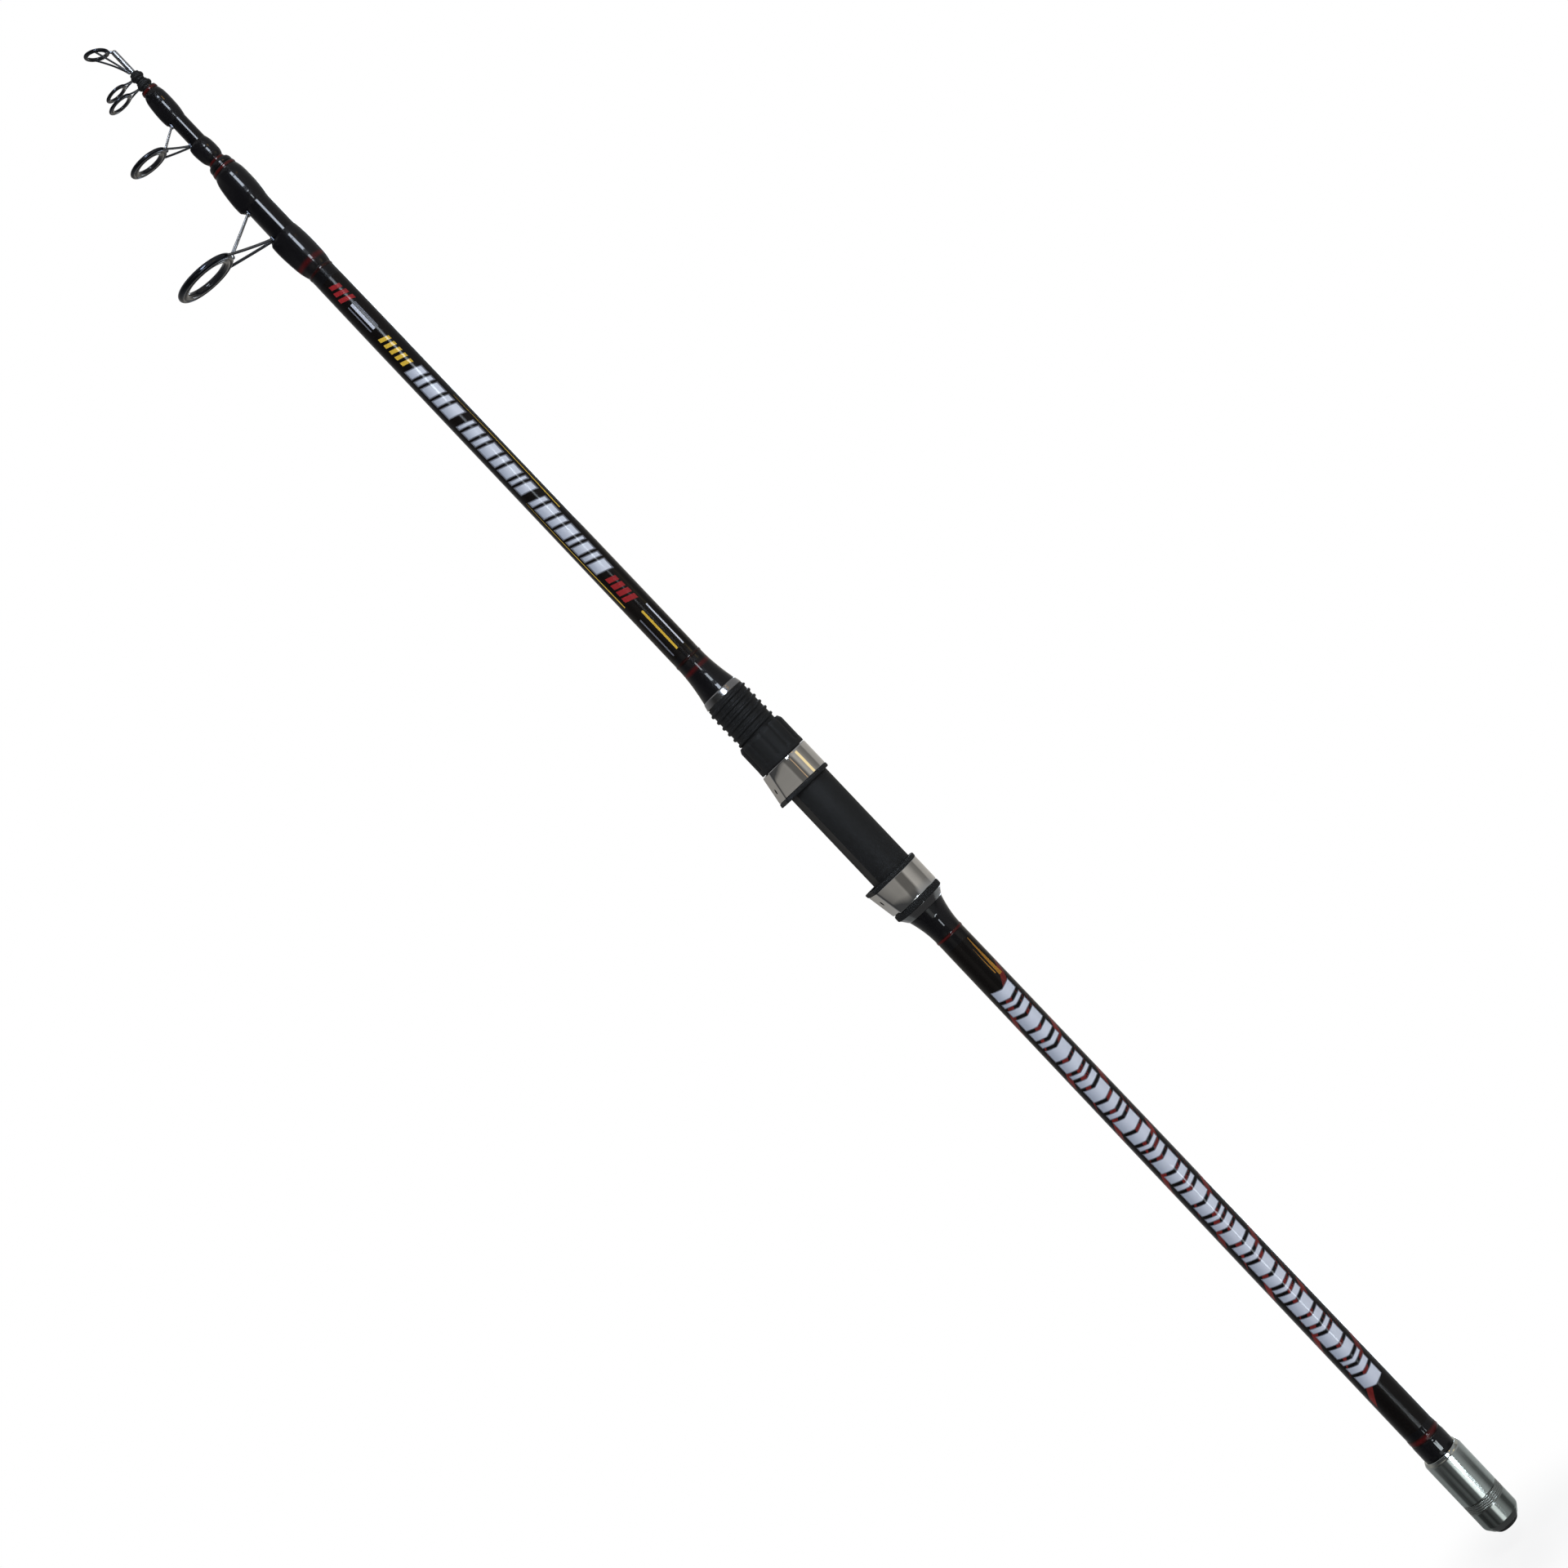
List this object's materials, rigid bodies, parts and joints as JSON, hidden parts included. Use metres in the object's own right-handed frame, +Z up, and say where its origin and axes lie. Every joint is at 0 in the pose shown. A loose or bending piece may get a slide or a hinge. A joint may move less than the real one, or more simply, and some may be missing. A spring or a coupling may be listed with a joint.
{
  "type": "telescopic fishing rod",
  "caption": "Closed telescopic fishing rod with a screw-down reel seat, ring guides on windings, sliding runner guides, a leaning tip ring and a steel butt cap.",
  "frame": {"origin": "centre of the end pad's flat rear face, on the rod's centre line", "axes": "+Z up the rod to the tip, -X towards the reel and the guides' rings, +Y to the side"},
  "size_m": [0.0601, 0.027, 0.7973],
  "materials": {
    "rubber": "matt",
    "butt_steel": "polished",
    "blank_lacquer": "clear lacquer over black fibre",
    "winding_lacquer": "thick clear lacquer over black thread",
    "red_trim": "gloss",
    "satin_trim": "satin",
    "seat_plastic": "fine grain",
    "arbor_foam": "foam",
    "hood_chrome": "polished",
    "guide_metal": "dark plated",
    "ring_ceramic": "polished"
  },
  "bodies": {
    "butt": {"butt_sleeve": "butt_steel", "butt_wrap": "winding_lacquer", "butt_blank": "blank_lacquer", "butt_trim_bands": "red_trim", "rear_flare": "winding_lacquer", "rear_trim_ring": "satin_trim", "rear_flange": "seat_plastic", "fixed_hood_shell": "hood_chrome", "fixed_hood_liner": "seat_plastic", "seat_barrel": "seat_plastic", "seat_arbors": "arbor_foam", "front_trim_ring": "satin_trim", "front_flare": "winding_lacquer", "large_guide_rear_wrap": "winding_lacquer", "large_guide_front_wrap": "winding_lacquer", "large_guide_frame": "guide_metal", "large_guide_ring": "ring_ceramic"},
    "end_pad": {"end_pad": "rubber", "cap_cushion": "rubber"},
    "end_cap": {"end_cap": "butt_steel"},
    "sliding_hood": {"sliding_hood_shell": "hood_chrome", "sliding_hood_liner": "seat_plastic"},
    "lock_nut": {"lock_nut": "seat_plastic"},
    "mid": {"mid_blank": "blank_lacquer", "mid_stop_collar": "winding_lacquer", "mid_trim_bands": "red_trim", "medium_guide_rear_wrap": "winding_lacquer", "medium_guide_front_wrap": "winding_lacquer", "medium_guide_frame": "guide_metal", "medium_guide_ring": "ring_ceramic"},
    "tip": {"tip_blank": "blank_lacquer", "tip_ring_frame": "guide_metal", "tip_ring_insert": "ring_ceramic"},
    "rear_runner": {"rear_runner_collar": "seat_plastic", "rear_runner_frame": "guide_metal", "rear_runner_ring": "ring_ceramic"},
    "front_runner": {"front_runner_collar": "seat_plastic", "front_runner_frame": "guide_metal", "front_runner_ring": "ring_ceramic"}
  },
  "joints": [
    {"name": "mid_slide", "type": "slide", "parent": "butt", "child": "mid", "axis": [0, 0, 1], "range_m": [0, 0.43]},
    {"name": "tip_slide", "type": "slide", "parent": "mid", "child": "tip", "axis": [0, 0, 1], "range_m": [0, 0.4224]},
    {"name": "rear_runner_slide", "type": "slide", "parent": "tip", "child": "rear_runner", "axis": [0, 0, -1], "range_m": [0, 0.2764]},
    {"name": "front_runner_slide", "type": "slide", "parent": "tip", "child": "front_runner", "axis": [0, 0, -1], "range_m": [0, 0.1394]},
    {"name": "hood_slide", "type": "slide", "parent": "butt", "child": "sliding_hood", "axis": [0, 0, 1], "range_m": [-0.01, 0.018]},
    {"name": "nut_turn", "type": "hinge", "parent": "sliding_hood", "child": "lock_nut", "pos_m": [0, 0, 0.4182], "axis": [0, 0, 1], "range_deg": [-1162, 2091]},
    {"name": "cap_slide", "type": "slide", "parent": "butt", "child": "end_pad", "axis": [0, 0, -1], "range_m": [0, 0.008]},
    {"name": "cap_turn", "type": "hinge", "parent": "end_pad", "child": "end_cap", "pos_m": [0, 0, 0.0093], "axis": [0, 0, -1], "range_deg": [-2881, 1]}
  ],
  "couplings": [
    {"joint": "rear_runner_slide", "follows": "tip_slide", "ratio": 0.65436},
    {"joint": "front_runner_slide", "follows": "tip_slide", "ratio": 0.33002},
    {"joint": "nut_turn", "follows": "hood_slide", "rad_per_m": 2026.8},
    {"joint": "cap_turn", "follows": "cap_slide", "rad_per_m": -6283.2}
  ]
}
